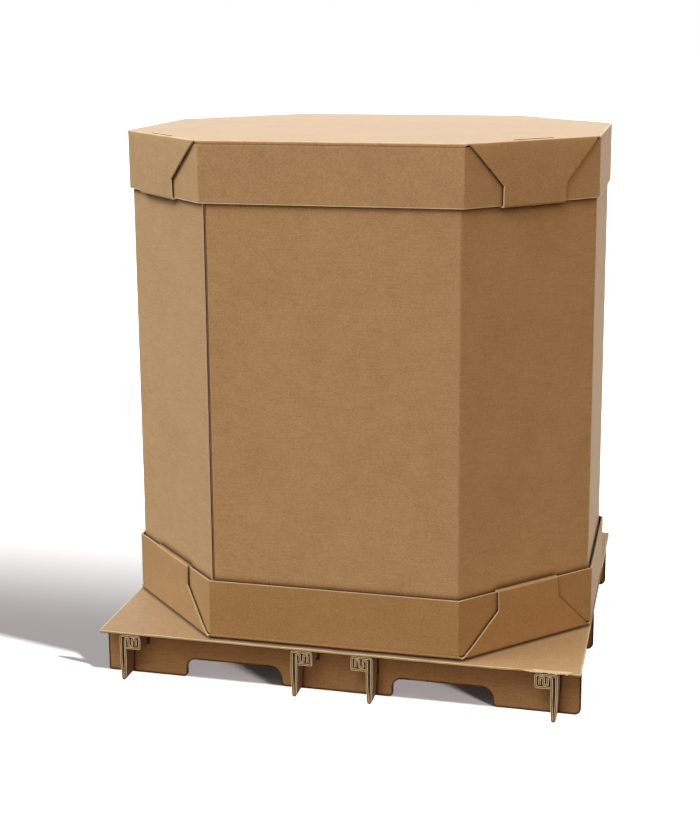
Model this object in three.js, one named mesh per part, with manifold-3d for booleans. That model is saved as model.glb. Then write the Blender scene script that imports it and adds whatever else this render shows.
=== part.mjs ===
// A bulk pallet box of corrugated board: an eight-sided sleeve between a lid and a tray, on a pallet of
// folded runners, slotted cross boards and a deck sheet.
// Millimetres, +Z up, the front faces -Y. The origin is on the floor, under the middle of the pallet.
import * as THREE from "three";
import { mergeVertices } from "three/addons/utils/BufferGeometryUtils.js";
import Module from "manifold-3d";

const wasm = await Module();
wasm.setup();

// Board thicknesses and the spaces kept between pieces
const singleWall = 4; // the lid's and the tray's board
const runnerWall = 5; // the runners' board
const doubleWall = 7; // the sleeve's, the deck sheet's and the cross boards' board
const seat = 0.3; // left where one piece rests on another
const slotClearance = 1; // each side of a board in its slot
const innerFold = 1; // inside radius of a scored fold

// Pallet
const palletWidth = 1200;
const palletDepth = 1000;
const forkHeight = 120; // from the floor to the deck sheet

// Box
const sleeveHeight = 1222;
const sleeveCornerCut = 281; // what each corner of the sleeve's rectangle loses, along X and along Y
const trayInsetX = 1; // from the deck sheet's edge to the tray's wall, left and right
const trayInsetY = 11; // the same at the front and the back
const trayClearance = 6.5; // between the sleeve and the tray's straight walls
const lidClearance = 2.5; // between the sleeve and the lid's straight walls
const glueFlap = 60; // the sleeve's glue flap, behind its front left panel
const glueLine = 0.5; // between the flap and the panel glued to it

// Walls of the lid and the tray
const wallHeight = 150; // a straight wall, with the plate's thickness
const tabLength = 150; // a wall's end tab, folded round the corner and held in the roll-over wall
const tabGap = 1.5; // between a tab and the roll-over wall's outer panel
const panelGap = 0.5; // between a tab and the inner panel
const rollInset = 8; // from the corner to the outer panel's edge, at its fold
const rollRim = 182; // the roll-over wall's width at its rim
const rollKinkHeight = 104; // the height where its slanting edges turn upright
const tongueWidth = 118; // the inner panel's tongue, locked in a slot of the plate
const tongueRecess = 0.5; // from the plate's outer face to the tongue's end
const plateFold = 3; // outside radius of the folds round the plate

// Runners: a two-ply blade with a rolled head at its top
const bladeGap = 6; // between the blade's two plies
const headDepth = 36; // the rolled head, from its top to its underside
const headPlyGap = 4.5; // between the plies in the head
const headLayerGap = 1; // between the head's wrap and the plies inside it
const headPlies = 3; // plies inside the wrap, beside the blade
const runnerOuterX = 546; // from the middle to an outer runner's outer face
const runnerInnerX = 102; // from the middle to an inner runner's outer face

// Cross boards
const crossBoardInset = 2; // from the deck sheet's side edge to a cross board's end
const crossBoardSetback = 52; // from the deck sheet's front edge to the front board
const middleBoardSpacing = 386.5; // from the front board to the middle one
const backBoardSetback = 88.5; // from the deck sheet's back edge to the back board
const lapHeight = 60; // half of the height: runners are slotted below it, cross boards above it
const lapGap = 0.5; // between the two slots' ends
const boardEndRadiusLeft = 6; // lower corners of a cross board's two ends
const boardEndRadiusRight = 16;
const forkSlotNear = 142; // a fork opening's two sides, from the middle
const forkSlotFar = 387;
const forkSlotHeight = 48;
const forkSlotRadiusLeft = 14; // its upper corners
const forkSlotRadiusRight = 30;
const forkFootRadius = 9; // where its sides meet the floor

// Worked out from the sizes above
const palletHeight = forkHeight + doubleWall;
const trayX = palletWidth / 2 - trayInsetX;
const trayY = palletDepth / 2 - trayInsetY;
const sleeveX = trayX - singleWall - trayClearance;
const sleeveY = trayY - singleWall - trayClearance;
const rollDepth = 3 * singleWall + tabGap + panelGap; // a roll-over wall, through its panels and the tab
const trayZ = palletHeight + seat;
const sleeveZ = trayZ + singleWall + seat;
const lidTopZ = sleeveZ + sleeveHeight + seat + singleWall;
const bladeWidth = 2 * runnerWall + bladeGap;
const headWidth = bladeWidth + headPlies * (runnerWall + headPlyGap) + headPlyGap + runnerWall;

// An eight-sided ring of walls is eight distances from the middle, at every 45 degrees from +X.
function octagon(halfX, halfY, diagonal) {
  return [halfX, diagonal, halfY, diagonal, halfX, diagonal, halfY, diagonal];
}

const sleeveDiagonal = (sleeveX + sleeveY - sleeveCornerCut) / Math.SQRT2;
const sleeveOctagon = octagon(sleeveX, sleeveY, sleeveDiagonal);

// The lid's or the tray's outside, from the sleeve and the clearance of its straight walls.
function capOctagon(clearance) {
  const out = clearance + singleWall;
  return octagon(sleeveX + out, sleeveY + out, sleeveDiagonal + rollDepth + panelGap);
}

function sideNormal(k) {
  const angle = (k * Math.PI) / 4;
  return new THREE.Vector2(Math.cos(angle), Math.sin(angle));
}

// Along side k, anticlockwise.
function sideDirection(k) {
  const n = sideNormal(k);
  return new THREE.Vector2(-n.y, n.x);
}

// Where the lines of sides k and k + 1 meet, at these distances from the middle.
function corner(k, distance, nextDistance) {
  const n = sideNormal(k);
  const along = (nextDistance - distance * Math.SQRT1_2) / Math.SQRT1_2;
  return n.multiplyScalar(distance).addScaledVector(sideDirection(k), along);
}

// The outline of a board that follows straight stretches with rounded folds between them.
function ribbon(path, thickness, foldSteps = 3) {
  const left = [];
  const right = [];
  const add = (point, direction) => {
    const side = new THREE.Vector2(-direction.y, direction.x).multiplyScalar(thickness / 2);
    left.push(point.clone().add(side));
    right.push(point.clone().sub(side));
  };
  const radius = innerFold + thickness / 2;
  const directions = path.slice(1).map((p, i) => p.clone().sub(path[i]).normalize());
  add(path[0], directions[0]);
  for (let i = 1; i < path.length - 1; i++) {
    const before = directions[i - 1];
    const turn = Math.atan2(before.cross(directions[i]), before.dot(directions[i]));
    const reach = radius * Math.tan(Math.abs(turn) / 2);
    const start = path[i].clone().addScaledVector(before, -reach);
    const toCentre = new THREE.Vector2(-before.y, before.x).multiplyScalar(radius * Math.sign(turn));
    const centre = start.clone().add(toCentre);
    for (let s = 0; s <= foldSteps; s++) {
      const angle = (turn * s) / foldSteps;
      const point = start.clone().rotateAround(centre, angle);
      const direction = before.clone().rotateAround(new THREE.Vector2(), angle);
      add(point, direction);
    }
  }
  add(path.at(-1), directions.at(-1));
  return new THREE.Shape([...left, ...right.reverse()]);
}

// Solids

function solidOf(geometry) {
  geometry.deleteAttribute("normal");
  geometry.deleteAttribute("uv");
  const merged = mergeVertices(geometry, 1e-4);
  return new wasm.Manifold(
    new wasm.Mesh({
      numProp: 3,
      vertProperties: merged.attributes.position.array,
      triVerts: new Uint32Array(merged.index.array),
    }),
  );
}

// A flat outline drawn out upwards, from one height to another.
function upright(shape, fromZ, toZ) {
  const geometry = new THREE.ExtrudeGeometry(shape, { depth: toZ - fromZ, bevelEnabled: false });
  return geometry.translate(0, 0, fromZ);
}

// An outline in X and Z drawn out along Y, from one place to another.
function alongY(shape, fromY, toY) {
  const geometry = new THREE.ExtrudeGeometry(shape, { depth: toY - fromY, bevelEnabled: false });
  return geometry.rotateX(Math.PI / 2).translate(0, toY, 0);
}

function block(minX, maxX, minY, maxY, minZ, maxZ) {
  const geometry = new THREE.BoxGeometry(maxX - minX, maxY - minY, maxZ - minZ);
  return geometry.translate((minX + maxX) / 2, (minY + maxY) / 2, (minZ + maxZ) / 2);
}

function meshOf(solid, name, material) {
  const { vertProperties, triVerts } = solid.getMesh();
  const indexed = new THREE.BufferGeometry();
  indexed.setAttribute("position", new THREE.BufferAttribute(vertProperties, 3));
  indexed.setIndex(new THREE.BufferAttribute(triVerts, 1));
  const geometry = indexed.toNonIndexed();
  geometry.computeVertexNormals();
  const mesh = new THREE.Mesh(geometry, material);
  mesh.name = name;
  return mesh;
}

function kraft(color, roughness) {
  return new THREE.MeshStandardMaterial({ color, roughness, metalness: 0 });
}

// Lid and tray: one die-cut sheet each, plate down, walls up

// A straight wall and its two end tabs, which go round the corners into the roll-over walls.
function straightWall(distances, k) {
  const tabDistance = singleWall + tabGap + singleWall / 2;
  const middle = distances[k] - singleWall / 2;
  const first = corner(k - 1, distances[(k + 7) % 8] - tabDistance, middle);
  const last = corner(k, middle, distances[(k + 1) % 8] - tabDistance);
  const firstTab = first.clone().addScaledVector(sideDirection(k - 1), -tabLength);
  const lastTab = last.clone().addScaledVector(sideDirection(k + 1), tabLength);
  const withTabs = upright(ribbon([firstTab, first, last, lastTab], singleWall), singleWall + seat, wallHeight);
  const foot = upright(ribbon([first, last], singleWall), 0, 2 * singleWall);
  return solidOf(withTabs).add(solidOf(foot));
}

// A roll-over wall in its own frame: X along the wall, Y outwards from its outer face, Z up.
function rollOverWall(sideLength) {
  const foldHalf = sideLength / 2 - rollInset;
  const rimHalf = rollRim / 2;
  const outer = new THREE.Shape();
  outer.moveTo(-foldHalf, 0);
  outer.lineTo(foldHalf, 0);
  outer.lineTo(rimHalf, rollKinkHeight);
  outer.lineTo(rimHalf, wallHeight - singleWall);
  outer.lineTo(-rimHalf, wallHeight - singleWall);
  outer.lineTo(-rimHalf, rollKinkHeight);
  const outerPanel = solidOf(alongY(outer, -singleWall, 0));

  const rim = wallHeight + singleWall / 2 + seat;
  const section = ribbon(
    [
      new THREE.Vector2(-singleWall / 2, rollKinkHeight),
      new THREE.Vector2(-singleWall / 2, rim),
      new THREE.Vector2(singleWall / 2 - rollDepth, rim),
      new THREE.Vector2(singleWall / 2 - rollDepth, singleWall + seat),
    ],
    singleWall,
  );
  const rolled = new THREE.ExtrudeGeometry(section, { depth: rollRim, bevelEnabled: false });
  rolled.rotateX(Math.PI / 2).rotateZ(Math.PI / 2).translate(-rimHalf, 0, 0);

  const tongueHalf = tongueWidth / 2;
  const innerFace = singleWall - rollDepth;
  const tongue = block(-tongueHalf, tongueHalf, -rollDepth, innerFace, tongueRecess, 2 * singleWall);
  return outerPanel.add(solidOf(rolled)).add(solidOf(tongue));
}

function tongueSlot() {
  const half = tongueWidth / 2 + slotClearance;
  return solidOf(
    block(-half, half, -rollDepth - panelGap, singleWall - rollDepth + panelGap, -singleWall, 2 * singleWall),
  );
}

// Moves a roll-over wall's frame to the middle of side k's outer face.
function onSide(solid, corners, k) {
  const middle = corners[k - 1].clone().lerp(corners[k], 0.5);
  return solid.rotate([0, 0, k * 45 - 90]).translate([middle.x, middle.y, 0]);
}

function cap(distances) {
  const corners = distances.map((d, k) => corner(k, d, distances[(k + 1) % 8]));
  const outline = new THREE.Shape(corners);
  let solid = solidOf(upright(outline, 0, singleWall));
  for (const k of [0, 2, 4, 6]) solid = solid.add(straightWall(distances, k));
  for (const k of [1, 3, 5, 7]) {
    const sideLength = corners[k].distanceTo(corners[k - 1]);
    solid = solid.subtract(onSide(tongueSlot(), corners, k));
    solid = solid.add(onSide(rollOverWall(sideLength), corners, k));
  }
  const rounded = new THREE.ExtrudeGeometry(outline, {
    depth: 2 * wallHeight,
    bevelSize: plateFold,
    bevelThickness: plateFold,
    bevelOffset: -plateFold,
    bevelSegments: 3,
  });
  return solid.intersect(solidOf(rounded.translate(0, 0, plateFold)));
}

// Sleeve: one sheet folded round seven corners, its ends joined at the eighth by a glue flap
function sleeve() {
  const frontLeft = 5; // the side that the flap lies behind
  const middles = sleeveOctagon.map((d) => d - doubleWall / 2);
  const flapDistance = middles[frontLeft] - doubleWall - glueLine;
  const flapFold = corner(frontLeft, flapDistance, middles[6]);
  const flapEnd = flapFold.clone().addScaledVector(sideDirection(frontLeft), -glueFlap);
  const folds = [6, 7, 8, 9, 10, 11, 12].map((k) => corner(k % 8, middles[k % 8], middles[(k + 1) % 8]));
  const outerCorner = corner(frontLeft, sleeveOctagon[frontLeft], sleeveOctagon[6]);
  const toMiddle = sideNormal(frontLeft).multiplyScalar(-doubleWall / 2);
  const cutEnd = outerCorner.add(toMiddle);
  const path = [flapEnd, flapFold, ...folds, cutEnd];
  return solidOf(upright(ribbon(path, doubleWall), 0, sleeveHeight));
}

// Pallet

// One sheet: its wrap runs round the head, then down and up the blade, then to and fro inside the head.
function runner(side) {
  const half = runnerWall / 2;
  const top = forkHeight - seat - half;
  const pitch = runnerWall + headPlyGap;
  const headBottom = forkHeight - seat - headDepth + half;
  const step = runnerWall + headLayerGap;
  const bladeInner = bladeWidth - half;
  const far = headWidth - half;
  const points = [
    [bladeWidth + headLayerGap, headBottom],
    [far, headBottom],
    [far, top],
    [half, top],
    [half, half],
    [bladeInner, half],
    [bladeInner, top - step],
  ];
  for (let ply = 1; ply <= headPlies; ply++) {
    const x = bladeInner + ply * pitch;
    const ends = [headBottom + step, top - step];
    const [from, to] = ply % 2 ? [ends[1], ends[0]] : ends;
    points.push([x, from], [x, to]);
  }
  const path = points.map(([x, z]) => new THREE.Vector2(side * x, z));
  let solid = solidOf(alongY(ribbon(path, runnerWall), -palletDepth / 2, palletDepth / 2));
  const slotHalf = doubleWall / 2 + slotClearance;
  for (const y of crossBoardYs) {
    const slot = block(-headWidth, headWidth, y - slotHalf, y + slotHalf, -runnerWall, lapHeight + lapGap);
    solid = solid.subtract(solidOf(slot));
  }
  return solid;
}

// The gap that a fork goes through, between X = left and X = right.
function forkSlot(left, right) {
  const below = -doubleWall;
  const s = new THREE.Shape();
  s.moveTo(left - forkFootRadius, below);
  s.lineTo(left - forkFootRadius, 0);
  s.quadraticCurveTo(left, 0, left, forkFootRadius);
  s.lineTo(left, forkSlotHeight - forkSlotRadiusLeft);
  s.quadraticCurveTo(left, forkSlotHeight, left + forkSlotRadiusLeft, forkSlotHeight);
  s.lineTo(right - forkSlotRadiusRight, forkSlotHeight);
  s.quadraticCurveTo(right, forkSlotHeight, right, forkSlotHeight - forkSlotRadiusRight);
  s.lineTo(right, forkFootRadius);
  s.quadraticCurveTo(right, 0, right + forkFootRadius, 0);
  s.lineTo(right + forkFootRadius, below);
  return s;
}

const curveSteps = 5;

function crossBoard() {
  const half = doubleWall / 2;
  const end = palletWidth / 2 - crossBoardInset;
  const top = forkHeight - seat;
  const outline = new THREE.Shape();
  outline.moveTo(-end, top);
  outline.lineTo(-end, boardEndRadiusLeft);
  outline.quadraticCurveTo(-end, 0, boardEndRadiusLeft - end, 0);
  outline.lineTo(end - boardEndRadiusRight, 0);
  outline.quadraticCurveTo(end, 0, end, boardEndRadiusRight);
  outline.lineTo(end, top);
  const sheet = { depth: doubleWall, bevelEnabled: false, curveSegments: curveSteps };
  const cut = { depth: 3 * doubleWall, bevelEnabled: false, curveSegments: curveSteps };
  const stand = (shape, settings) => {
    const geometry = new THREE.ExtrudeGeometry(shape, settings);
    return solidOf(geometry.rotateX(Math.PI / 2).translate(0, settings.depth / 2, 0));
  };
  let solid = stand(outline, sheet);
  solid = solid.subtract(stand(forkSlot(-forkSlotFar, -forkSlotNear), cut));
  solid = solid.subtract(stand(forkSlot(forkSlotNear, forkSlotFar), cut));
  for (const { x, side } of runnerPlaces) {
    const reach = (from, to) => [x + side * from, x + side * to].sort((a, b) => a - b);
    const head = reach(-slotClearance, headWidth + slotClearance);
    const blade = reach(-slotClearance, bladeWidth + slotClearance);
    const headFloor = top - headDepth - slotClearance;
    solid = solid.subtract(solidOf(block(...head, -doubleWall, doubleWall, headFloor, top + half)));
    solid = solid.subtract(solidOf(block(...blade, -doubleWall, doubleWall, lapHeight, top + half)));
  }
  return solid;
}

const frontBoardY = -palletDepth / 2 + crossBoardSetback + doubleWall / 2;
const middleBoardY = frontBoardY + middleBoardSpacing;
const backBoardY = palletDepth / 2 - backBoardSetback - doubleWall / 2;
const crossBoardYs = [frontBoardY, middleBoardY, backBoardY];
const crossBoardNames = ["front", "middle", "back"];

// The heads point inwards, so the right-hand runners are made the other way round.
const runnerPlaces = [
  { name: "runner_left_outer", x: -runnerOuterX, side: 1 },
  { name: "runner_left_inner", x: -runnerInnerX, side: 1 },
  { name: "runner_right_inner", x: runnerInnerX, side: -1 },
  { name: "runner_right_outer", x: runnerOuterX, side: -1 },
];

const pallet = new THREE.Group();
runnerPlaces.forEach(({ name, x, side }) => {
  const mesh = meshOf(runner(side), name, kraft(0x9b7347, 0.85));
  mesh.position.x = x;
  pallet.add(mesh);
});
crossBoardYs.forEach((y, i) => {
  const mesh = meshOf(crossBoard(), `cross_board_${crossBoardNames[i]}`, kraft(0x7d5630, 0.85));
  mesh.position.y = y;
  pallet.add(mesh);
});
const deckHalfX = palletWidth / 2;
const deckHalfY = palletDepth / 2;
const deckSheet = solidOf(block(-deckHalfX, deckHalfX, -deckHalfY, deckHalfY, 0, doubleWall));
const deck = meshOf(deckSheet, "deck_sheet", kraft(0xc4a57f, 0.8));
deck.position.z = forkHeight;
pallet.add(deck);

const tray = meshOf(cap(capOctagon(trayClearance)), "tray", kraft(0xa5835f, 0.8));
tray.position.z = trayZ;

const standingSleeve = meshOf(sleeve(), "sleeve", kraft(0xa5835f, 0.8));
standingSleeve.position.z = sleeveZ;

// The lid is the same design as the tray, turned over.
const lid = meshOf(cap(capOctagon(lidClearance)), "lid", kraft(0xb08c66, 0.8));
lid.rotation.x = Math.PI;
lid.position.z = lidTopZ;

const palletBox = new THREE.Group();
palletBox.add(pallet, tray, standingSleeve, lid);

export default palletBox;
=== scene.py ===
# An eight-sided bulk pallet box of corrugated board: lid, sleeve and tray on a folded-board pallet.
# Metres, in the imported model's frame: +Z up, the front faces -Y, the floor is at Z 0.
import bpy
import bmesh
import math
from mathutils import Matrix, Vector, noise


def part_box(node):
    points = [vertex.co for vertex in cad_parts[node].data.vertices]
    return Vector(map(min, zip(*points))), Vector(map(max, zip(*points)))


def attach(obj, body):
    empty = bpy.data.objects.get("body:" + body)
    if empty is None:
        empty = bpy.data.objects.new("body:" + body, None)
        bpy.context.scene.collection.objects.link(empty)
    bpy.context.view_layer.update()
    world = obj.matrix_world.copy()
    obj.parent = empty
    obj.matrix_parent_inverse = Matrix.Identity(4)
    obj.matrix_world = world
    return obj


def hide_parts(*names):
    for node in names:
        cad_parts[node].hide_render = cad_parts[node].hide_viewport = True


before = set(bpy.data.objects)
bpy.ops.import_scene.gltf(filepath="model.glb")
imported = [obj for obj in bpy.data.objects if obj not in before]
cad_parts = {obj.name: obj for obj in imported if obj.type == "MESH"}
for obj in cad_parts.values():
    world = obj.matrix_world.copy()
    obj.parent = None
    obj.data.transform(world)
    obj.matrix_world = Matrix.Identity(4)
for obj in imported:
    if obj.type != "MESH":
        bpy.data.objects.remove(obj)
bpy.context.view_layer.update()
mm = 0.001
diagonal = math.sqrt(0.5)


def linear(hexColour):  # an sRGB hex colour as the linear values that sockets take
    parts = [int(hexColour[i:i + 2], 16) / 255 for i in (1, 3, 5)]
    return [c / 12.92 if c <= 0.04045 else ((c + 0.055) / 1.055) ** 2.4 for c in parts] + [1]


def addNode(tree, kind, settings=None, inputs=None):
    node = tree.nodes.new(kind)
    for key, value in (settings or {}).items():
        setattr(node, key, value)
    for key, value in (inputs or {}).items():
        if isinstance(value, bpy.types.Node):
            value = value.outputs[0]
        if isinstance(value, bpy.types.NodeSocket):
            tree.links.new(value, node.inputs[key])
        else:
            node.inputs[key].default_value = value
    return node


# Camera, at the photograph's viewing angle
cameraSetup = {
    "place": (0.8375, -3.7875, 1.6355),
    "turnLeft": 13.422,
    "tiltDown": 11.073,
    "roll": 0.392,
    "lens": 64.46,
    "shiftY": -0.130,
}


def makeCamera(setup):
    data = bpy.data.cameras.new("camera")
    data.sensor_width = 36
    data.lens = setup["lens"]
    data.shift_y = setup["shiftY"]
    data.clip_end = 200
    camera = bpy.data.objects.new("camera", data)
    bpy.context.scene.collection.objects.link(camera)
    turn = Matrix.Rotation(math.radians(setup["turnLeft"]), 4, "Z")
    tilt = Matrix.Rotation(math.radians(90 - setup["tiltDown"]), 4, "X")
    roll = Matrix.Rotation(math.radians(-setup["roll"]), 4, "Z")
    camera.matrix_world = Matrix.Translation(setup["place"]) @ turn @ tilt @ roll
    bpy.context.scene.camera = camera


makeCamera(cameraSetup)
bpy.context.scene.view_settings.view_transform = "Standard"
print("camera done")


# Light: a soft studio from the upper left, and a lamp that only draws the floor's shadow
lightSetup = {
    "world": {"colour": "#FFD9A0", "strength": 0.08},
    "key": {"azimuth": -75, "height": 45, "angle": 30, "colour": "#FEFFF4", "strength": 1.80},
    "front": {"azimuth": -15, "height": 55, "angle": 25, "colour": "#FFFFF8", "strength": 1.26},
    "fill": {"azimuth": -5, "height": 12, "angle": 60, "colour": "#FFEBCC", "strength": 1.45},
    "warm": {"azimuth": 50, "height": 12, "angle": 50, "colour": "#FF5218", "strength": 0.24},
    "side": {"azimuth": 120, "height": 25, "angle": 60, "colour": "#FFE8A0", "strength": 1.5},
    "top": {"azimuth": -60, "height": 80, "angle": 40, "colour": "#FAFFFB", "strength": 0.24},
    "back": {"azimuth": 190, "height": 25, "angle": 60, "colour": "#DEEDFF", "strength": 1.74},
    "floorShadow": {"azimuth": 76.2, "height": 35, "angle": 3, "colour": "#FFFFFF", "strength": 50.0},
    "underPallet": {"azimuth": 53, "height": 11, "angle": 11, "colour": "#FFF3F3", "strength": 50.0},
}
floorSetup = {
    "bounce": "#0A0A09",
    "shown": "#595959",  # its own grey, lit white by the shadow lamp
    "shade": "#8D8687",  # the grey its glow paints inside the shadow: painted shadow
    "underShade": "#2B2726",  # and the darker grey painted as shade under the pallet
    "fadeFrom": -0.25,  # the painted shadow grey fades to white between these two depths
    "fadeTo": 0.56,
}


def sunFrom(name, azimuth, height, angle, colour, strength):
    # azimuth 0 comes from the front, 90 from the right, -90 from the left
    data = bpy.data.lights.new(name, "SUN")
    data.angle = math.radians(angle)
    data.color = linear(colour)[:3]
    data.energy = strength
    lamp = bpy.data.objects.new(name, data)
    a, h = math.radians(azimuth), math.radians(height)
    towards = Vector((math.sin(a) * math.cos(h), -math.cos(a) * math.cos(h), math.sin(h)))
    lamp.rotation_euler = towards.to_track_quat("Z", "Y").to_euler()
    lamp.location = towards * 5
    bpy.context.scene.collection.objects.link(lamp)
    return lamp


def seenRay(tree):  # 1 for the camera's rays and for those that gloss or glass sends on
    path = addNode(tree, "ShaderNodeLightPath")
    sent = addNode(tree, "ShaderNodeMath", {"operation": "MAXIMUM"},
                   {0: path.outputs["Is Glossy Ray"], 1: path.outputs["Is Transmission Ray"]})
    return addNode(tree, "ShaderNodeMath", {"operation": "MAXIMUM"}, {0: path.outputs["Is Camera Ray"], 1: sent})


def makeWorld(colour, strength):
    world = bpy.data.worlds.new("studio")
    bpy.context.scene.world = world
    world.use_nodes = True
    tree = world.node_tree
    tree.nodes.clear()
    seen = seenRay(tree)
    light = addNode(tree, "ShaderNodeBackground", None, {"Color": linear(colour), "Strength": strength})
    white = addNode(tree, "ShaderNodeBackground", None, {"Color": (1, 1, 1, 1), "Strength": 1.0})
    either = addNode(tree, "ShaderNodeMixShader", None, {0: seen, 1: light, 2: white})
    addNode(tree, "ShaderNodeOutputWorld", None, {0: either})


# The floor glows: its glow paints the shadow's grey, fading to white towards the back, and the shadow lamp lifts the
# rest to white.
def floorMaterial(name, shade, fadeTo, s):  # white where the shadow lamp reaches it; other rays meet a dark floor
    material = bpy.data.materials.new(name)
    material.use_nodes = True
    tree = material.node_tree
    tree.nodes.clear()
    seen = seenRay(tree)
    place = addNode(tree, "ShaderNodeTexCoord").outputs["Object"]
    split = addNode(tree, "ShaderNodeSeparateXYZ", None, {0: place})
    fade = addNode(tree, "ShaderNodeMapRange", {"interpolation_type": "SMOOTHSTEP"},
                   {"Value": split.outputs["Y"], "From Min": s["fadeFrom"], "From Max": fadeTo})
    shade = addNode(tree, "ShaderNodeMix", {"data_type": "RGBA"}, {0: fade, 6: linear(shade), 7: (1, 1, 1, 1)})
    glow = addNode(tree, "ShaderNodeEmission", None, {"Color": shade.outputs[2], "Strength": 1.0})
    lit = addNode(tree, "ShaderNodeBsdfDiffuse", None, {"Color": linear(s["shown"])})
    shown = addNode(tree, "ShaderNodeAddShader", None, {0: glow, 1: lit})
    bounce = addNode(tree, "ShaderNodeBsdfDiffuse", None, {"Color": linear(s["bounce"])})
    either = addNode(tree, "ShaderNodeMixShader", None, {0: seen, 1: bounce, 2: shown})
    addNode(tree, "ShaderNodeOutputMaterial", None, {0: either})
    return material


def stagePlane(name, low, high, z, material=None):
    bpy.ops.object.select_all(action="DESELECT")
    bpy.ops.mesh.primitive_plane_add(size=1, location=((low[0] + high[0]) / 2, (low[1] + high[1]) / 2, z))
    plane = bpy.context.object
    plane.name = name
    plane.scale = (high[0] - low[0], high[1] - low[1], 1)
    bpy.ops.object.transform_apply(location=True, rotation=True, scale=True)
    if material:
        plane.data.materials.append(material)
    return plane


def onlyFor(name, things):
    group = bpy.data.collections.new(name)
    for thing in things:
        group.objects.link(thing)
    return group


makeWorld(**lightSetup["world"])
for lampName in ("key", "front", "fill", "warm", "side", "top", "back"):
    sunFrom(lampName, **lightSetup[lampName])
floor = stagePlane("floor", (-60, -60), (60, 60), 0, floorMaterial("white_floor", floorSetup["shade"], floorSetup["fadeTo"], floorSetup))
# Under the pallet a second floor glows darker: painted shade under the pallet.
underFloor = stagePlane("floor_under_pallet", (-0.59, -0.452), (0.59, 0.45), 0.0001,
                        floorMaterial("shaded_floor", floorSetup["underShade"], 20, floorSetup))
shadowLamp = sunFrom("floorShadow", **lightSetup["floorShadow"])
shadowLamp.light_linking.receiver_collection = onlyFor("lit_by_shadow_lamp", [floor, underFloor])
underLamp = sunFrom("underPallet", **lightSetup["underPallet"])
underLamp.light_linking.receiver_collection = onlyFor("lit_under_pallet", [underFloor])
print("light and floor done")

# Kraft liner: unbleached paper rolled matt, so it shows a soft mottle, fibre streaks along the
# machine direction, scattered flecks and the faint ribs of the flutes under it.
# Where boards overlap or meet, painted shade draws the thin dark lines that tell one board from the next: ambient
# occlusion darkens the colour
creviceSetup = {
    "creviceReach": 10 * mm,
    # the dark brown of the painted shade
    "creviceShadeColour": "#4A2307",
    "creviceShut": 0.6,  # share of open space at which a crevice is dark all through
    "creviceOpen": 0.88,
    "creviceShadeStrength": 0.9,
}


def shadeCrevices(tree, colour, s):
    # painted shade: the colour darkens towards a dark brown where ambient occlusion finds boards close by
    sky = addNode(tree, "ShaderNodeAmbientOcclusion", {"samples": 6}, {"Distance": s["creviceReach"]})
    shade = addNode(tree, "ShaderNodeMapRange", None,
                    {"Value": sky.outputs["AO"], "From Min": s["creviceShut"], "From Max": s["creviceOpen"],
                     "To Min": s["creviceShadeStrength"], "To Max": 0.0})
    return addNode(tree, "ShaderNodeMix", {"data_type": "RGBA"}, {0: shade, 6: colour, 7: linear(s["creviceShadeColour"])}).outputs[2]


linerSetup = {
    **creviceSetup,
    "mottle": 140 * mm,
    "cloud": 35 * mm,
    "streakLength": 60 * mm,
    "streakWidth": 2.2 * mm,
    "grain": 3.4 * mm,
    "fleck": 5 * mm,
    "ribPitch": 7.6 * mm,
    "roughness": 0.5,
    "gloss": 0.03,  # unsized paper throws back next to nothing
    "sheen": 0.38,  # loose fibres at the surface catch light at a low angle
    "sheenRoughness": 0.45,
    "wearAndPaintedShadingColour": "#E6D6BC",  # edge colour of folds and cut borders: part rubbed and crushed liner, part painted highlight
    "cutBorderWearAndShading": 0.0,  # how strongly its cut borders take that colour
    "foldWearAndHighlight": 0.0,  # and how strongly its level folds take it
    "streaks": 0.7,
    "rib": 0.5,
}


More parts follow.
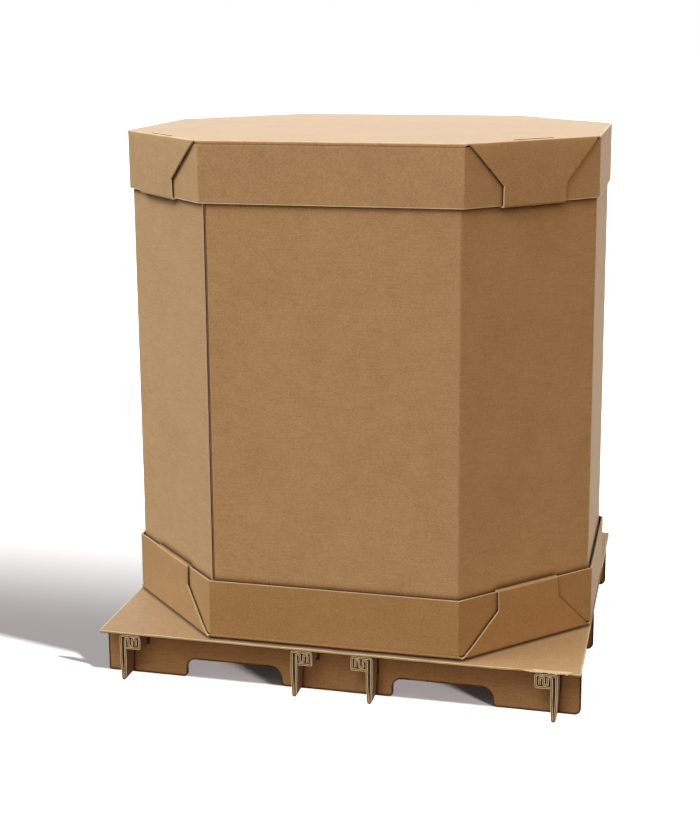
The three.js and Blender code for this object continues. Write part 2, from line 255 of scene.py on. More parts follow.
def kraftLiner(name, s):
    material = bpy.data.materials.new(name)
    material.use_nodes = True
    tree = material.node_tree
    tree.nodes.clear()
    place = addNode(tree, "ShaderNodeTexCoord").outputs["Object"]
    flat = addNode(tree, "ShaderNodeUVMap", {"uv_map": "flat"})
    mottle = addNode(tree, "ShaderNodeTexNoise", None, {"Vector": place, "Scale": 1 / s["mottle"], "Detail": 3.0})
    cloud = addNode(tree, "ShaderNodeTexNoise", None, {"Vector": place, "Scale": 1 / s["cloud"], "Detail": 4.0})
    laid = addNode(tree, "ShaderNodeMapping", None,
                   {"Vector": flat, "Scale": (1 / s["streakLength"], 1 / s["streakWidth"], 1)})
    streak = addNode(tree, "ShaderNodeTexNoise", None, {"Vector": laid, "Scale": 1.0, "Detail": 2.0})
    grain = addNode(tree, "ShaderNodeTexNoise", None, {"Vector": place, "Scale": 1 / s["grain"], "Detail": 2.0})
    fleck = addNode(tree, "ShaderNodeTexNoise", None, {"Vector": place, "Scale": 1 / s["fleck"], "Detail": 3.0})
    darkFleck = addNode(tree, "ShaderNodeMapRange", None,
                        {"Value": fleck, "From Min": 0.68, "From Max": 0.74, "To Min": 0.0, "To Max": 1.0})
    tone = None
    for source, weight in ((mottle, 0.32), (cloud, 0.26), (streak, s["streaks"]), (grain, 1.25)):
        part = addNode(tree, "ShaderNodeMath", {"operation": "MULTIPLY_ADD"}, {0: source, 1: weight, 2: -weight / 2})
        tone = addNode(tree, "ShaderNodeMath", {"operation": "ADD"}, {0: part, 1: tone if tone else 0.5})
    base = addNode(tree, "ShaderNodeValToRGB", None, {0: tone})
    base.color_ramp.elements[0].position = 0.15
    base.color_ramp.elements[0].color = linear(s["deep"])
    base.color_ramp.elements[1].position = 0.85
    base.color_ramp.elements[1].color = linear(s["pale"])
    middle = base.color_ramp.elements.new(0.5)
    middle.color = linear(s["colour"])
    flecked = addNode(tree, "ShaderNodeMix", {"data_type": "RGBA", "blend_type": "MULTIPLY"},
                      {0: darkFleck, 6: base, 7: linear("#DCCFBF")})
    # Level folds and cut borders take the edge colour: part rubbed and crushed liner, part painted highlight; a dark
    # edge colour is painted shade.
    fold = addNode(tree, "ShaderNodeAttribute", {"attribute_name": "fold"}).outputs["Fac"]
    foldWearAndLight = addNode(tree, "ShaderNodeMath", {"operation": "MULTIPLY"}, {0: fold, 1: s["foldWearAndHighlight"]})
    border = addNode(tree, "ShaderNodeAttribute", {"attribute_name": "border"}).outputs["Fac"]
    border = addNode(tree, "ShaderNodeMapRange", None,
                     {"Value": border, "From Min": 0.2, "From Max": 0.7, "To Min": 0.0, "To Max": s["cutBorderWearAndShading"]})
    wearAndShading = addNode(tree, "ShaderNodeMath", {"operation": "MAXIMUM"}, {0: foldWearAndLight, 1: border})
    patchy = addNode(tree, "ShaderNodeMapRange", None,
                     {"Value": cloud, "From Min": 0.25, "From Max": 0.6, "To Min": 0.45, "To Max": 1.0})
    wearAndShading = addNode(tree, "ShaderNodeMath", {"operation": "MULTIPLY"}, {0: wearAndShading, 1: patchy})
    flecked = addNode(tree, "ShaderNodeMix", {"data_type": "RGBA"},
                      {0: wearAndShading, 6: flecked.outputs[2], 7: linear(s["wearAndPaintedShadingColour"])})
    shaded = shadeCrevices(tree, flecked.outputs[2], s)
    split = addNode(tree, "ShaderNodeSeparateXYZ", None, {0: flat})
    turns = addNode(tree, "ShaderNodeMath", {"operation": "MULTIPLY"}, {0: split, 1: 2 * math.pi / s["ribPitch"]})
    ribs = addNode(tree, "ShaderNodeMath", {"operation": "SINE"}, {0: turns})
    ribHeight = addNode(tree, "ShaderNodeMath", {"operation": "MULTIPLY"}, {0: ribs, 1: s["rib"]})
    height = addNode(tree, "ShaderNodeMath", {"operation": "MULTIPLY_ADD"}, {0: grain, 1: 0.6, 2: ribHeight})
    height = addNode(tree, "ShaderNodeMath", {"operation": "MULTIPLY_ADD"}, {0: streak, 1: 0.8, 2: height})
    bump = addNode(tree, "ShaderNodeBump", None, {"Height": height, "Distance": 0.08 * mm, "Strength": 1.0})
    paper = addNode(tree, "ShaderNodeBsdfPrincipled", None,
                    {"Base Color": shaded, "Normal": bump, "Roughness": s["roughness"], "IOR": 1.45, "Specular IOR Level": s["gloss"],
                     "Sheen Weight": s["sheen"], "Sheen Roughness": s["sheenRoughness"]})
    addNode(tree, "ShaderNodeOutputMaterial", None, {0: paper})
    return material


# Cut board: pale torn paper at the liners and the wave of the fluting, with painted shade in the hollows between
cutSetup = {
    **creviceSetup,
    "paper": "#F0DEBE",
    "wave": "#D8BF98",
    "hollow": "#6E5639",
    "crush": 30 * mm,
    "lip": -1,  # share of the board, from its outer liner, that is crushed to one pale lip
    "under": 2,  # from where the rest is painted dark: painted shade on the board's lower part
}
# The sleeve's seam: a pale lip, then a near-black wave and hollows, painted shade in the groove.
sleeveCutSetup = {**cutSetup, "paper": "#FBEBCF", "wave": "#5A3418", "hollow": "#351A08", "lip": 0.5, "creviceShadeStrength": 0.0}
# The outer panels' cut edges: cut paper's own pale tone, painted paler still as a painted highlight, with no crevice
# shade.
panelCutSetup = {**cutSetup, "paper": "#FFF6E4", "wave": "#FBEACB", "hollow": "#E2CBA4", "creviceShadeStrength": 0.0}
# The deck's edge: a pale top lip, and painted shade over its lower part.
deckCutSetup = {**cutSetup, "paper": "#FBEBD2", "wave": "#DCC49A", "hollow": "#A88C62", "lip": 0.2, "under": 0.8, "creviceShadeStrength": 0.2}
# The pallet's cut ends: near-black hollows, painted shade between the plies.
palletCutSetup = {**cutSetup, "paper": "#F2DAB4", "wave": "#8E7048", "hollow": "#1C1008", "creviceShadeStrength": 0.6}


def cutBoard(name, flutes, linerShare, s):
    # flutes: (from, to, pitch) of each fluted layer across the board, 0 at the outer liner
    material = bpy.data.materials.new(name)
    material.use_nodes = True
    tree = material.node_tree
    tree.nodes.clear()
    flat = addNode(tree, "ShaderNodeUVMap", {"uv_map": "flat"})
    place = addNode(tree, "ShaderNodeTexCoord").outputs["Object"]
    across = addNode(tree, "ShaderNodeAttribute", {"attribute_name": "across"}).outputs["Fac"]
    split = addNode(tree, "ShaderNodeSeparateXYZ", None, {0: flat})
    torn = addNode(tree, "ShaderNodeTexNoise", None, {"Vector": place, "Scale": 1 / (4 * mm), "Detail": 2.0})
    crush = addNode(tree, "ShaderNodeTexNoise", None, {"Vector": place, "Scale": 1 / s["crush"], "Detail": 2.0})
    shift = addNode(tree, "ShaderNodeMath", {"operation": "MULTIPLY_ADD"}, {0: torn, 1: 0.06, 2: -0.03})
    lay = addNode(tree, "ShaderNodeMath", {"operation": "ADD"}, {0: across, 1: shift})
    wave = None
    liners = None
    for start, end, pitch in flutes:
        middle, half = (start + end) / 2, (end - start) / 2
        turns = addNode(tree, "ShaderNodeMath", {"operation": "MULTIPLY"}, {0: split, 1: 2 * math.pi / pitch})
        sine = addNode(tree, "ShaderNodeMath", {"operation": "SINE"}, {0: turns})
        line = addNode(tree, "ShaderNodeMath", {"operation": "MULTIPLY_ADD"}, {0: sine, 1: half * 0.82, 2: middle})
        apart = addNode(tree, "ShaderNodeMath", {"operation": "SUBTRACT"}, {0: lay, 1: line})
        apart = addNode(tree, "ShaderNodeMath", {"operation": "ABSOLUTE"}, {0: apart})
        on = addNode(tree, "ShaderNodeMapRange", None,
                     {"Value": apart, "From Min": half * 0.22, "From Max": half * 0.34, "To Min": 1.0, "To Max": 0.0})
        wave = addNode(tree, "ShaderNodeMath", {"operation": "MAXIMUM"}, {0: on, 1: wave}) if wave else on
    for line in sorted({edge for flute in flutes for edge in flute[:2]}):
        apart = addNode(tree, "ShaderNodeMath", {"operation": "SUBTRACT"}, {0: lay, 1: line})
        apart = addNode(tree, "ShaderNodeMath", {"operation": "ABSOLUTE"}, {0: apart})
        on = addNode(tree, "ShaderNodeMapRange", None,
                     {"Value": apart, "From Min": linerShare * 0.8, "From Max": linerShare * 1.2, "To Min": 1.0, "To Max": 0.0})
        liners = addNode(tree, "ShaderNodeMath", {"operation": "MAXIMUM"}, {0: on, 1: liners}) if liners else on
    # The flute hollows carry painted shade, lighter in patches where the flutes are crushed
    lighterHollows = addNode(tree, "ShaderNodeMapRange", None,
                   {"Value": crush, "From Min": 0.35, "From Max": 0.75, "To Min": 0.0, "To Max": 0.45})
    hollow = addNode(tree, "ShaderNodeMix", {"data_type": "RGBA"}, {0: lighterHollows, 6: linear(s["hollow"]), 7: linear(s["wave"])})
    waved = addNode(tree, "ShaderNodeMix", {"data_type": "RGBA"}, {0: wave, 6: hollow.outputs[2], 7: linear(s["wave"])})
    lined = addNode(tree, "ShaderNodeMix", {"data_type": "RGBA"}, {0: liners, 6: waved.outputs[2], 7: linear(s["paper"])})
    lip = addNode(tree, "ShaderNodeMapRange", None,
                  {"Value": lay, "From Min": s["lip"] - 0.05, "From Max": s["lip"] + 0.05, "To Min": 1.0, "To Max": 0.0})
    lined = addNode(tree, "ShaderNodeMix", {"data_type": "RGBA"}, {0: lip, 6: lined.outputs[2], 7: linear(s["paper"])})
    # painted shade over the board's lower part
    under = addNode(tree, "ShaderNodeMapRange", None,
                    {"Value": lay, "From Min": s["under"] - 0.06, "From Max": s["under"] + 0.06, "To Min": 0.0, "To Max": 1.0})
    lined = addNode(tree, "ShaderNodeMix", {"data_type": "RGBA"}, {0: under, 6: lined.outputs[2], 7: linear(s["creviceShadeColour"])})
    shaded = shadeCrevices(tree, lined.outputs[2], s)
    solid = addNode(tree, "ShaderNodeMath", {"operation": "MAXIMUM"}, {0: wave, 1: liners})
    bump = addNode(tree, "ShaderNodeBump", None, {"Height": solid, "Distance": 0.5 * mm, "Strength": 0.6})
    paper = addNode(tree, "ShaderNodeBsdfPrincipled", None,
                    {"Base Color": shaded, "Normal": bump, "Roughness": 0.85, "IOR": 1.4})
    addNode(tree, "ShaderNodeOutputMaterial", None, {0: paper})
    return material


# The sleeve's painted shade reaches further: the lid's shadow on it under the lid's rim.
sleeveLiner = kraftLiner("kraft_liner_sleeve", {**linerSetup, "colour": "#B4946E", "deep": "#A68560", "pale": "#C0A07B",
                                                "sheen": 0.22, "creviceReach": 20 * mm, "creviceOpen": 0.95})
lidLiner = kraftLiner("kraft_liner_lid", {**linerSetup, "colour": "#B4946F", "deep": "#A68561", "pale": "#C0A17C",
                                          "streaks": 0.3, "foldWearAndHighlight": 0.85, "cutBorderWearAndShading": 0.9, "sheen": 0.22})
trayLiner = kraftLiner("kraft_liner_tray", {**linerSetup, "colour": "#A9855C", "deep": "#9C774F", "pale": "#B69369",
                                            "streaks": 0.3, "foldWearAndHighlight": 0.2, "cutBorderWearAndShading": 0.15, "sheen": 0.22})
deckLiner = kraftLiner("kraft_liner_deck", {**linerSetup, "colour": "#A98966", "deep": "#9B7C59", "pale": "#B59775",
                                            "cutBorderWearAndShading": 0.8, "creviceShadeStrength": 0.75})
# The pallet's boards: a darker copy of the kraft, painted shade for the boards under the deck; their cut borders are
# painted dark, as shade.
shadedPalletLiner = kraftLiner("kraft_liner_pallet_shaded", {**linerSetup, "colour": "#9E7A55", "deep": "#906C48", "pale": "#AB8863",
                                                "cutBorderWearAndShading": 1.0, "wearAndPaintedShadingColour": "#2E1A0C"})
singleCut = cutBoard("cut_single_wall", ((0.06, 0.94, 7.6 * mm),), 0.09, panelCutSetup)
# The tray's cut edges: cut paper's own pale tone, lightened a little less, still partly a painted highlight.
trayCut = cutBoard("cut_tray_board", ((0.06, 0.94, 7.6 * mm),), 0.09,
                   {**panelCutSetup, "paper": "#EEDAB6", "wave": "#D9C194", "hollow": "#AE9064"})
doubleCut = cutBoard("cut_double_wall", ((0.04, 0.42, 6.3 * mm), (0.42, 0.96, 7.6 * mm)), 0.045, sleeveCutSetup)
deckCut = cutBoard("cut_deck_board", ((0.12, 0.94, 7.6 * mm),), 0.07, deckCutSetup)
foldedCut = cutBoard("cut_folded_board", ((0.06, 0.94, 7.6 * mm),), 0.17, palletCutSetup)
palletCut = cutBoard("cut_pallet_board", ((0.04, 0.42, 6.3 * mm), (0.42, 0.96, 7.6 * mm)), 0.045, palletCutSetup)


def tornLiner(name, colour, deep):  # the pale, fibrous face of liner peeled off its fluting
    material = bpy.data.materials.new(name)
    material.use_nodes = True
    tree = material.node_tree
    tree.nodes.clear()
    place = addNode(tree, "ShaderNodeTexCoord").outputs["Object"]
    fibre = addNode(tree, "ShaderNodeTexNoise", None, {"Vector": place, "Scale": 1 / (5 * mm), "Detail": 3.0})
    base = addNode(tree, "ShaderNodeMix", {"data_type": "RGBA"}, {0: fibre, 6: linear(deep), 7: linear(colour)})
    bump = addNode(tree, "ShaderNodeBump", None, {"Height": fibre, "Distance": 0.4 * mm, "Strength": 0.8})
    paper = addNode(tree, "ShaderNodeBsdfPrincipled", None,
                    {"Base Color": base.outputs[2], "Normal": bump, "Roughness": 0.9, "IOR": 1.4})
    addNode(tree, "ShaderNodeOutputMaterial", None, {0: paper})
    return material


tornPaper = tornLiner("torn_kraft_liner", "#DCC8AA", "#C0A582")
print("materials done")


# Modelling by hand: a sheet of board is drawn by extruding edges, bevelled at its folds, then thickened


def startSheet(name, sizeX, sizeY, place):  # a flat sheet facing up, left in edit mode with nothing selected
    bpy.ops.object.select_all(action="DESELECT")
    bpy.ops.mesh.primitive_plane_add(size=1, location=place)
    sheet = bpy.context.object
    sheet.name = name
    sheet.scale = (sizeX, sizeY, 1)
    bpy.ops.object.transform_apply(location=True, rotation=True, scale=True)
    openEdit(sheet, "EDGE")
    return sheet


def openEdit(piece, mode):
    bpy.ops.object.select_all(action="DESELECT")
    piece.select_set(True)
    bpy.context.view_layer.objects.active = piece
    bpy.ops.object.mode_set(mode="EDIT")
    bpy.ops.mesh.select_mode(type=mode)
    bpy.ops.mesh.select_all(action="DESELECT")


def closeEdit():
    bpy.ops.object.mode_set(mode="OBJECT")


def pickEdges(piece, test):  # selects the edges whose two ends both pass the test
    bpy.ops.mesh.select_mode(type="EDGE")
    bpy.ops.mesh.select_all(action="DESELECT")
    mesh = bmesh.from_edit_mesh(piece.data)
    picked = [e for e in mesh.edges if test(e.verts[0].co) and test(e.verts[1].co)]
    for edge in picked:
        edge.select_set(True)
    bmesh.update_edit_mesh(piece.data)
    return len(picked)


def pickFaces(piece, test):
    bpy.ops.mesh.select_mode(type="FACE")
    bpy.ops.mesh.select_all(action="DESELECT")
    mesh = bmesh.from_edit_mesh(piece.data)
    picked = [f for f in mesh.faces if test(f)]
    for face in picked:
        face.select_set(True)
    bmesh.update_edit_mesh(piece.data)
    return len(picked)


def near(a, b):
    return abs(a - b) < 1e-5


def extrudeBy(x, y, z):
    bpy.ops.mesh.extrude_region_move(TRANSFORM_OT_translate={"value": (x, y, z)})


def resizeAlongX(factor, centre=(0, 0, 0)):
    bpy.ops.transform.resize(value=(factor, 1, 1), center_override=centre)


def bevelFold(radius, turn, segments=4):  # rounds the selected folds; turn is the fold's angle in degrees
    offset = radius * math.tan(math.radians(turn) / 2)
    bpy.ops.mesh.bevel(offset_type="OFFSET", offset=offset, segments=segments, profile=0.5, affect="EDGES",
                       clamp_overlap=False)


def copyTurned(piece, name, turn, place):  # a copy with its own mesh, turned about Z and moved
    bpy.ops.object.select_all(action="DESELECT")
    piece.select_set(True)
    bpy.context.view_layer.objects.active = piece
    bpy.ops.object.duplicate(linked=False)
    copy = bpy.context.object
    copy.name = name
    copy.rotation_euler.z = math.radians(turn)
    copy.location = place
    bpy.ops.object.transform_apply(location=True, rotation=True, scale=True)
    return copy


def joinPieces(pieces, name):
    bpy.ops.object.select_all(action="DESELECT")
    for piece in pieces:
        piece.select_set(True)
    bpy.context.view_layer.objects.active = pieces[0]
    bpy.ops.object.join()
    joined = bpy.context.object
    joined.name = name
    joined.data.name = name
    return joined


def removePiece(piece):
    bpy.data.objects.remove(piece, do_unlink=True)


# The blank's flat layout becomes the UV map, in metres, so flutes and grain run on round every fold.
# The U axis crosses the flutes, the V axis runs along them.
def unfold(piece, startTest, uAxis, vAxis):
    mesh = bmesh.new()
    mesh.from_mesh(piece.data)
    flat = mesh.loops.layers.uv.get("flat") or mesh.loops.layers.uv.new("flat")
    uAxis, vAxis = Vector(uAxis), Vector(vAxis)
    left = dict.fromkeys(mesh.faces)  # a dictionary keeps the faces in order, so each run starts from the same one
    while left:
        start = next((f for f in left if startTest(f)), None) or next(iter(left))
        hand = 1 if uAxis.cross(vAxis).dot(start.normal) > 0 else -1
        first = start.loops[0]
        ends = [Vector((v.co.dot(uAxis), v.co.dot(vAxis))) for v in (first.vert, first.link_loop_next.vert)]
        queue = [(first, ends[0], (ends[1] - ends[0]).normalized())]
        del left[start]
        while queue:
            loop, origin, heading = queue.pop(0)
            along = (loop.link_loop_next.vert.co - loop.vert.co).normalized()
            across = loop.face.normal.cross(along)
            side = Vector((-heading.y, heading.x)) * hand
            placed = {}
            for corner in loop.face.loops:
                step = corner.vert.co - loop.vert.co
                placed[corner] = origin + heading * step.dot(along) + side * step.dot(across)
                corner[flat].uv = placed[corner]
            for corner in loop.face.loops:
                for other in corner.edge.link_loops:
                    if other.face in left:
                        there = placed[corner.link_loop_next]
                        queue.append((other, there, (placed[corner] - there).normalized()))
                        del left[other.face]
    mesh.to_mesh(piece.data)
    mesh.free()


# Gives the sheet its board's thickness. "across" runs from 0 on the outer liner to 1 on the inner one.
def thicken(piece, thickness, offset=-1):
    bpy.context.view_layer.objects.active = piece
    solid = piece.modifiers.new("board", "SOLIDIFY")
    solid.thickness = thickness
    solid.offset = offset
    solid.use_even_offset = True
    solid.material_offset_rim = 1
    count = len(piece.data.vertices)
    bpy.ops.object.modifier_apply(modifier=solid.name)
    across = piece.data.attributes.new("across", "FLOAT", "POINT")
    across.data.foreach_set("value", [0.0 if i < count else 1.0 for i in range(len(piece.data.vertices))])


# "border" is 1 on the cut borders that pass the test, where the liner takes its edge colour (part crushed board, part
# painted highlight), and 0 from the given lines inwards
def markBorder(piece, lines=(), test=lambda p: False):
    openEdit(piece, "FACE")
    for place, normal in lines:
        bisectAt(place, normal)
    closeEdit()
    mesh = bmesh.new()
    mesh.from_mesh(piece.data)
    marks = [1.0 if test(v.co) and any(e.is_boundary for e in v.link_edges) else 0.0 for v in mesh.verts]
    mesh.free()
    border = piece.data.attributes.new("border", "FLOAT", "POINT")
    border.data.foreach_set("value", marks)


def markFolds(piece, widest):  # "fold" is 1 on the narrow faces that round a level fold, where the liner is painted pale: part rubbed liner, part painted highlight
    mesh = bmesh.new()
    mesh.from_mesh(piece.data)
    marks = []
    for vertex in mesh.verts:
        faces = [f for f in vertex.link_faces if f.material_index == 0]
        narrow = [f.calc_area() / max(e.calc_length() for e in f.edges) < widest for f in faces]
        slanted = any(0.7 < abs(f.normal.z) < 0.985 for f in faces) and all(abs(f.normal.z) < 0.99 for f in faces)
        marks.append(1.0 if faces and all(narrow) and slanted else 0.0)
    mesh.free()
    fold = piece.data.attributes.new("fold", "FLOAT", "POINT")
    fold.data.foreach_set("value", marks)


def cutAway(piece, cutters):  # cuts slots with blocks, which are then removed
    cutter = joinPieces(cutters, "cutter")
    for material in piece.data.materials:
        cutter.data.materials.append(material)
    for face in cutter.data.polygons:
        face.material_index = 1
    bpy.ops.object.select_all(action="DESELECT")
    piece.select_set(True)
    bpy.context.view_layer.objects.active = piece
    cut = piece.modifiers.new("slots", "BOOLEAN")
    cut.operation = "DIFFERENCE"
    cut.solver = "EXACT"
    cut.object = cutter
    bpy.ops.object.modifier_apply(modifier=cut.name)
    removePiece(cutter)


def block(low, high):
    bpy.ops.object.select_all(action="DESELECT")
    bpy.ops.mesh.primitive_cube_add(size=1, location=[(a + b) / 2 for a, b in zip(low, high)])
    piece = bpy.context.object
    piece.scale = [b - a for a, b in zip(low, high)]
    bpy.ops.object.transform_apply(location=True, rotation=True, scale=True)
    return piece


def bisectAt(place, normal):
    bpy.ops.mesh.select_all(action="SELECT")
    bpy.ops.mesh.bisect(plane_co=place, plane_no=normal)


def limitToBox(piece, low, high):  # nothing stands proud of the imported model's own box
    for vertex in piece.data.vertices:
        vertex.co = [min(max(c, a), b) for c, a, b in zip(vertex.co, low, high)]


def dress(piece, liner, rawEdge):
    piece.data.materials.clear()
    piece.data.materials.append(liner)
    piece.data.materials.append(rawEdge)


def finishPiece(piece, node, angle=35):
    markFolds(piece, 4 * mm)
    bpy.ops.object.select_all(action="DESELECT")
    piece.select_set(True)
    bpy.context.view_layer.objects.active = piece
    bpy.ops.object.shade_smooth_by_angle(angle=math.radians(angle))
    even = piece.modifiers.new("flat_faces", "WEIGHTED_NORMAL")  # so that folds don't shade the flat panels beside them
    even.keep_sharp = True
    bpy.ops.object.modifier_apply(modifier=even.name)
    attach(piece, "root")
    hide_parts(node)


# Lid and tray: one die-cut single-wall sheet each. Drawn as a lid, plate up, walls down; the tray is turned over.
capSetup = {
    "board": 4 * mm,
    "foldRadius": 4.8 * mm,
    "wallHeight": 150 * mm,
    "rim": 3.4 * mm,  # how far up the crushed rim reaches
    "tabLength": 146 * mm,
    "tabGap": 1.5 * mm,  # between a tab and the outer panel over it
    "panelInset": 12 * mm,  # from the corner to the outer panel's edge
    "panelHalf": 91 * mm,  # half the panel's width below its kink
    "kinkHeight": 104 * mm,
    "rollRise": 4.3 * mm,  # how far the rolled rim reaches past the tabs
    "rollDepth": 14 * mm,
    "tongueHalf": 59 * mm,
    "slotClearance": 2 * mm,
    "bulge": 3 * mm,  # how far an outer panel springs out past its corner
    "rimBulge": 1.6 * mm,
    "aside": 0 * mm,  # how far the front left panel hangs to the left
    "tongueRise": (2 * mm, -0.6 * mm),  # how far a tongue's end stands out of the plate, front and back
}


def straightWall(name, cornerHalf, s):  # faces -Y, its outer face at Y 0, its fold at Z 0
    r = s["foldRadius"]
    strip = r + 0.6 * mm
    foldHalf = cornerHalf - strip * math.tan(math.radians(22.5))
    wallHalf = cornerHalf - (s["board"] + s["tabGap"]) * math.sqrt(2)
    rim = -s["wallHeight"]
    wall = startSheet(name, 2 * foldHalf, strip, (0, strip / 2, 0))
    pickEdges(wall, lambda p: near(p.y, 0))
    extrudeBy(0, 0, -strip)
    extrudeBy(0, 0, -3 * mm)
    resizeAlongX(wallHalf / foldHalf)
    extrudeBy(0, 0, -3 * mm)
    extrudeBy(0, 0, rim + strip + 6 * mm)
    for side in (-1, 1):
        pickEdges(wall, lambda p: near(p.x, side * wallHalf) and p.z < -strip - 5.9 * mm)
        reach = s["tabLength"] * diagonal
        extrudeBy(side * reach, reach, 0)
    pickEdges(wall, lambda p: near(p.y, 0) and near(p.z, 0))
    bevelFold(r, 90)
    pickEdges(wall, lambda p: near(abs(p.x), wallHalf) and p.z < -strip - 5.9 * mm and near(p.y, 0))
    bevelFold(r, 45, 3)
    closeEdit()
    return wall


def moveEnds(old, new):  # stretches the selected row along X, so its two ends go from old to new
    factor = (new[1] - new[0]) / (old[1] - old[0])
    if not near(factor, 1):
        resizeAlongX(factor, ((new[0] - factor * old[0]) / (1 - factor), 0, 0))


def rollOverWall(name, sideLength, aside, s):  # aside moves the panel below its kink that far to -X
    r = s["foldRadius"]
    strip = r + 0.6 * mm
    foldHalf = sideLength / 2 - strip * math.tan(math.radians(22.5))
    panelTop = sideLength / 2 - s["panelInset"]
    rim = s["wallHeight"] + s["rollRise"]
    panelBottom = (-s["panelHalf"] - aside, s["panelHalf"] - aside)
    wall = startSheet(name, 2 * foldHalf, strip, (0, strip / 2, 0))
    pickEdges(wall, lambda p: near(p.y, 0))
    extrudeBy(0, 0, -strip)
    ends = (-panelTop - 3 * mm, panelTop + 3 * mm)
    moveEnds((-foldHalf, foldHalf), ends)
    for share, depth, out in ((0, 2 * mm, 0.25), (0.2, 0.2, 0.8), (1, 0.8, 1)):
        drop = depth if share == 0 else depth * (s["kinkHeight"] - strip - 2 * mm)
        extrudeBy(0, -s["bulge"] * (out - {0: 0, 0.2: 0.25, 1: 0.8}[share]), -drop)
        goal = [side * panelTop + share * (end - side * panelTop) for side, end in zip((-1, 1), panelBottom)]
        moveEnds(ends, goal)
        ends = goal
    extrudeBy(0, s["bulge"] - s["rimBulge"], -(rim - s["kinkHeight"]))
    extrudeBy(0, s["rollDepth"] + s["rimBulge"], 0)
    extrudeBy(0, 0, rim - s["board"] - 0.6 * mm)
    pickEdges(wall, lambda p: near(p.y, 0) and near(p.z, 0))
    bevelFold(r, 90)
    pickEdges(wall, lambda p: near(p.z, -rim) and near(p.y, -s["rimBulge"]))
    bevelFold(r, 90)
    pickEdges(wall, lambda p: near(p.z, -rim) and near(p.y, s["rollDepth"]))
    bevelFold(r, 90)
    closeEdit()
    return wall


def tongue(name, rise, s):  # the rolled panel's tongue, from the panel's end out through the plate's slot
    below = s["board"] + 0.5 * mm
    sheet = startSheet(name, 2 * s["tongueHalf"], 4 * mm, (0, s["rollDepth"] + 2 * mm, -below))
    pickEdges(sheet, lambda p: near(p.y, s["rollDepth"]))
    extrudeBy(0, 0, below + rise)
    pickFaces(sheet, lambda f: abs(f.normal.z) > 0.9)
    bpy.ops.mesh.delete(type="FACE")
    closeEdit()
    return sheet


def cap(name, halfX, halfY, reach, liner, rawEdge, s):
    strip = s["foldRadius"] + 0.6 * mm
    frontHalf = reach * math.sqrt(2) - halfY
    sideHalf = reach * math.sqrt(2) - halfX
    plate = startSheet(name, 2 * (halfX - strip), 2 * (halfY - strip), (0, 0, 0))
    bpy.ops.mesh.select_mode(type="VERT")
    bpy.ops.mesh.select_all(action="SELECT")
    corner = (halfX - strip) - (frontHalf - strip * math.tan(math.radians(22.5)))
    bpy.ops.mesh.bevel(offset_type="OFFSET", offset=corner, segments=1, affect="VERTICES")
    closeEdit()
    longWall = straightWall("long_wall", frontHalf, s)
    shortWall = straightWall("short_wall", sideHalf, s)
    slant = (halfX - frontHalf) * math.sqrt(2)
    rolledWalls = [rollOverWall("rolled_wall", slant, aside, s) for aside in (0, s["aside"])]
    locks = [tongue("tongue", rise, s) for rise in s["tongueRise"]]
    parts = [plate]
    tongues = []
    slots = []
    for turn, wall, away in ((0, longWall, halfY), (90, shortWall, halfX), (180, longWall, halfY), (270, shortWall, halfX)):
        place = Matrix.Rotation(math.radians(turn), 3, "Z") @ Vector((0, -away, 0))
        parts.append(copyTurned(wall, "wall", turn, place))
    for turn, right, back, rolled in ((45, 1, -1, 0), (135, 1, 1, 0), (225, -1, 1, 0), (315, -1, -1, 1)):
        place = Vector((right * (halfX + frontHalf) / 2, back * (halfY + sideHalf) / 2, 0))
        parts.append(copyTurned(rolledWalls[rolled], "rolled", turn, place))
        tongues.append(copyTurned(locks[max(back, 0)], "tongue", turn, place))
        gap = s["slotClearance"]
        hole = block((-s["tongueHalf"] - gap, s["rollDepth"] - s["board"] - gap, -s["board"] - 2 * mm),
                     (s["tongueHalf"] + gap, s["rollDepth"] + gap, 3 * mm))
        slots.append(copyTurned(hole, "slot", turn, place))
        removePiece(hole)
    for wall in [longWall, shortWall] + rolledWalls + locks:
        removePiece(wall)
    piece = joinPieces(parts, name)
    openEdit(piece, "VERT")
    bpy.ops.mesh.select_all(action="SELECT")
    bpy.ops.mesh.remove_doubles(threshold=0.1 * mm)
    closeEdit()
    dress(piece, liner, rawEdge)
    markBorder(piece, [((0, 0, s["rim"] - s["wallHeight"]), (0, 0, 1))], lambda p: near(p.z, -s["wallHeight"]))
    unfold(piece, lambda f: f.normal.z > 0.99 and f.calc_area() > 0.5, (1, 0, 0), (0, 1, 0))
    thicken(piece, s["board"])
    cutAway(piece, slots)
    tongues = joinPieces(tongues, "tongues")
    dress(tongues, liner, rawEdge)
    markBorder(tongues, [((0, 0, 0), (0, 0, 1))], lambda p: p.z > 0.5 * mm)
    unfold(tongues, lambda f: True, (1, 0, 0), (0, 0, 1))
    thicken(tongues, s["board"])
    return joinPieces([piece, tongues], name)


# Sleeve: one double-wall sheet round seven folds. Its flap is glued behind the front left panel.
sleeveSetup = {
    "halfX": 588.5 * mm,
    "halfY": 478.5 * mm,
    "cut": 281 * mm,
    "bottom": 131.6 * mm,
    "top": 1353.6 * mm,
    "board": 7 * mm,
    "glueFlap": 60 * mm,
    "glueLine": 0.5 * mm,
    "foldRadius": 10 * mm,
    "flapRadius": 4 * mm,
}


